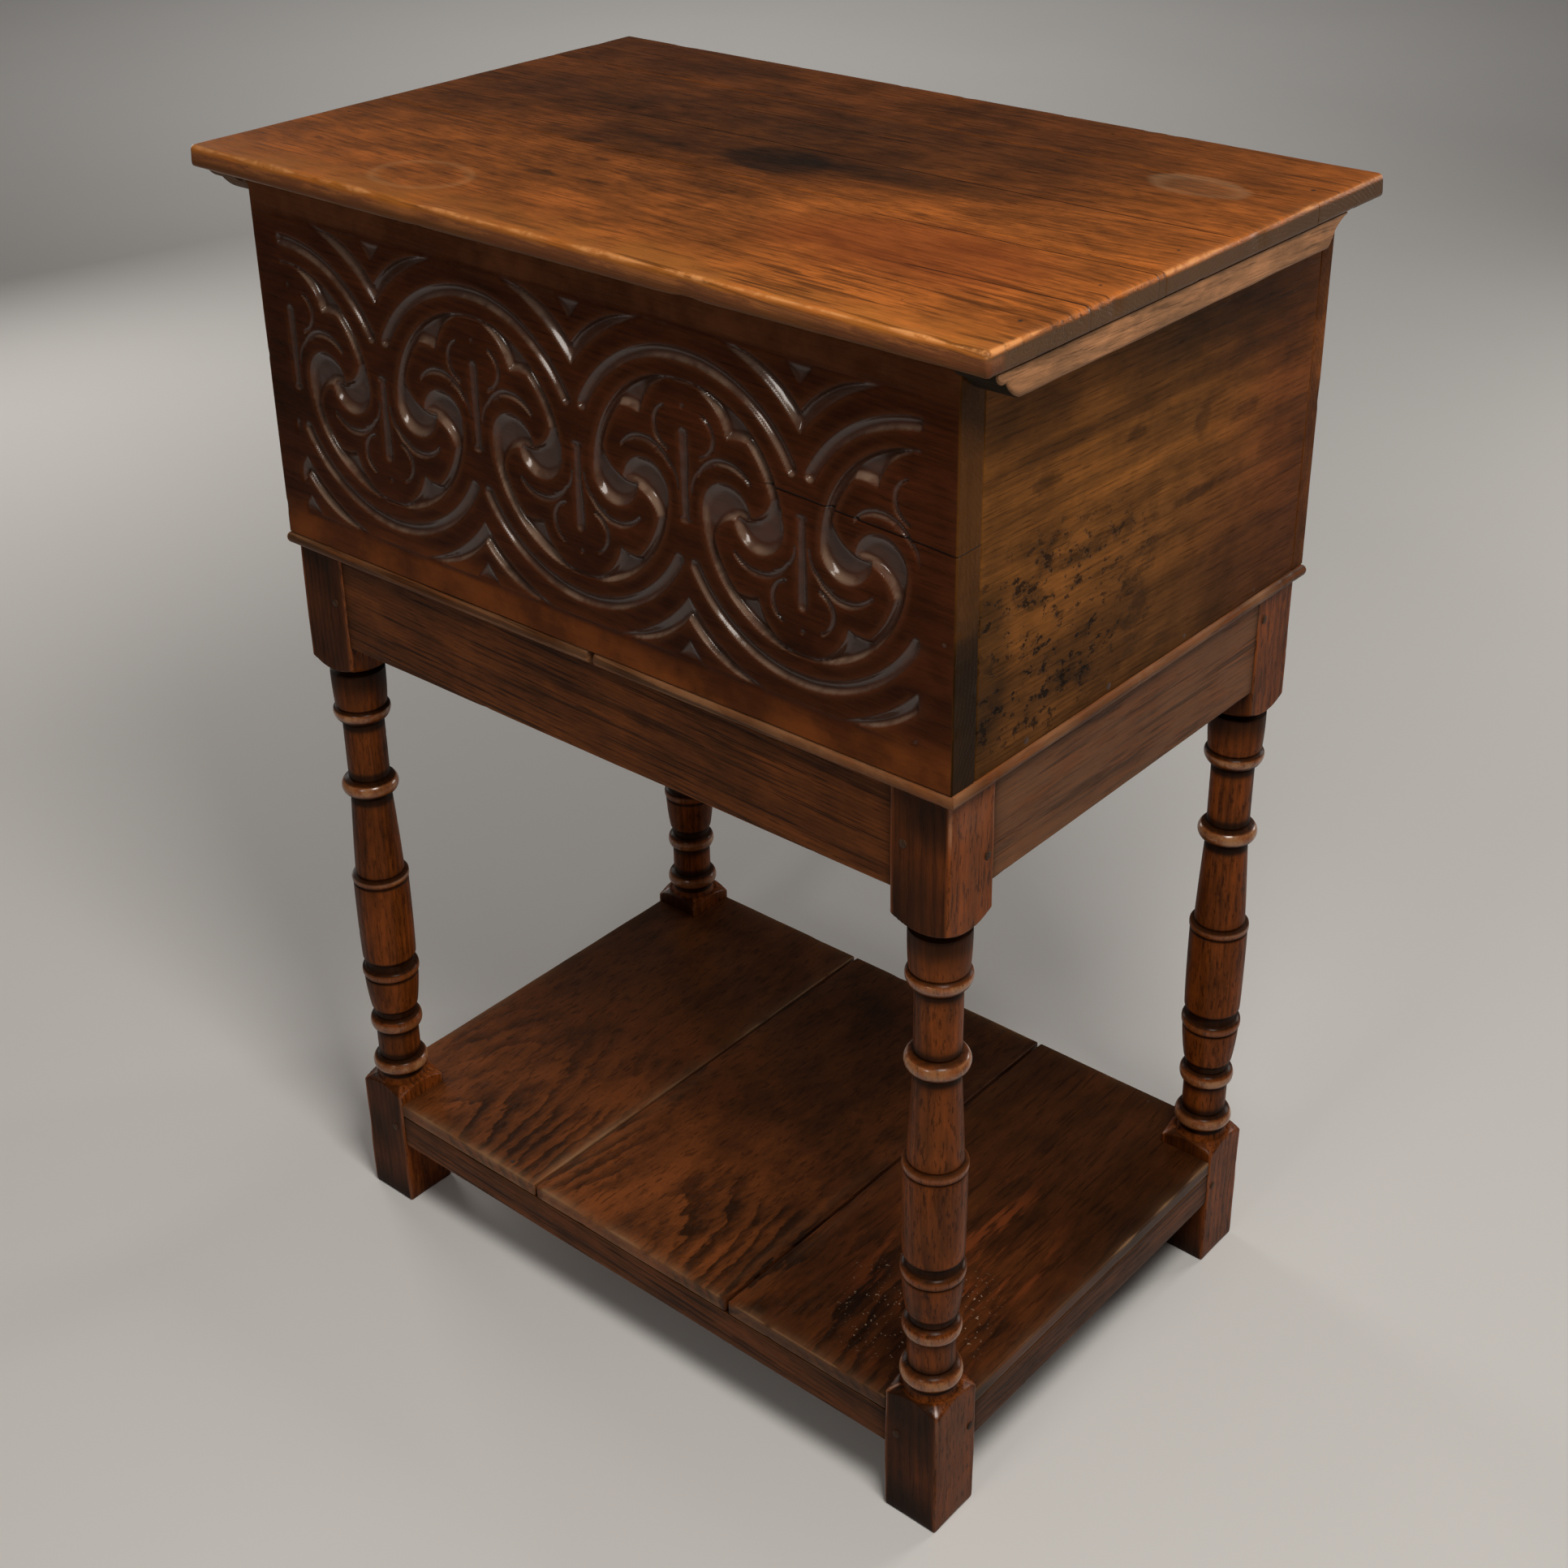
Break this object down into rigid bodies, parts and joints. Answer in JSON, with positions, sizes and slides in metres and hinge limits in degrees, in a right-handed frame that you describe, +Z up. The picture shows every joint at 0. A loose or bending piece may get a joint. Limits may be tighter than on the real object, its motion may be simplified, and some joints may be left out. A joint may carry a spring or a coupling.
{
  "type": "bible box on stand",
  "caption": "Carved oak box with a hinged board lid, on a stand of turned legs joined by aprons, stretchers and a low board shelf.",
  "frame": {"origin": "on the floor, centred under the whole object in width and depth", "axes": "+X to the right seen from the front, -Y to the front, +Z up"},
  "size_m": [0.762, 0.5024, 1.0164],
  "materials": {
    "lid_oak": "waxed and worn, orange-brown",
    "cleat_oak": "dry, dusty brown",
    "carved_oak": "dark red-brown with polish on the raised parts",
    "case_oak": "golden brown with black stains",
    "turned_oak": "dark brown, polished on the rings",
    "rail_oak": "dark brown, waxed",
    "shelf_oak": "dark brown with strong figure",
    "peg_oak": "nearly black end grain",
    "hinge_iron": "blackened iron",
    "nail_iron": "rusted iron"
  },
  "bodies": {
    "stand_and_box": {"leg_front_left": "turned_oak", "leg_front_right": "turned_oak", "leg_back_left": "turned_oak", "leg_back_right": "turned_oak", "apron_front": "rail_oak", "apron_back": "rail_oak", "apron_left": "rail_oak", "apron_right": "rail_oak", "stretcher_front": "rail_oak", "stretcher_back": "rail_oak", "stretcher_left": "rail_oak", "stretcher_right": "rail_oak", "apron_pegs": "peg_oak", "stretcher_pegs": "peg_oak", "shelf_board_left": "shelf_oak", "shelf_board_middle": "shelf_oak", "shelf_board_right": "shelf_oak", "shelf_nails": "nail_iron", "moulding_front": "rail_oak", "moulding_back": "rail_oak", "moulding_left": "rail_oak", "moulding_right": "rail_oak", "moulding_brads": "nail_iron", "box_front": "carved_oak", "box_back": "case_oak", "box_side_left": "case_oak", "box_side_right": "case_oak", "box_bottom_front": "case_oak", "box_bottom_back": "case_oak", "box_front_nails": "nail_iron", "box_back_nails": "nail_iron", "box_bottom_nails": "nail_iron", "hinge_box_leaf_left": "hinge_iron", "hinge_box_leaf_right": "hinge_iron", "hinge_pin_left": "hinge_iron", "hinge_pin_right": "hinge_iron", "hinge_box_nails": "hinge_iron"},
    "lid": {"lid_board_front": "lid_oak", "lid_board_middle": "lid_oak", "lid_board_back": "lid_oak", "lid_cleat_left": "cleat_oak", "lid_cleat_right": "cleat_oak", "lid_cleat_nails": "nail_iron", "hinge_lid_leaf_left": "hinge_iron", "hinge_lid_leaf_right": "hinge_iron", "hinge_lid_nails": "hinge_iron"}
  },
  "joints": [
    {"name": "lid_hinge", "type": "hinge", "parent": "stand_and_box", "child": "lid", "pos_m": [0, 0.24725, 0.9982], "axis": [-1, 0, 0], "range_deg": [0, 105]}
  ]
}
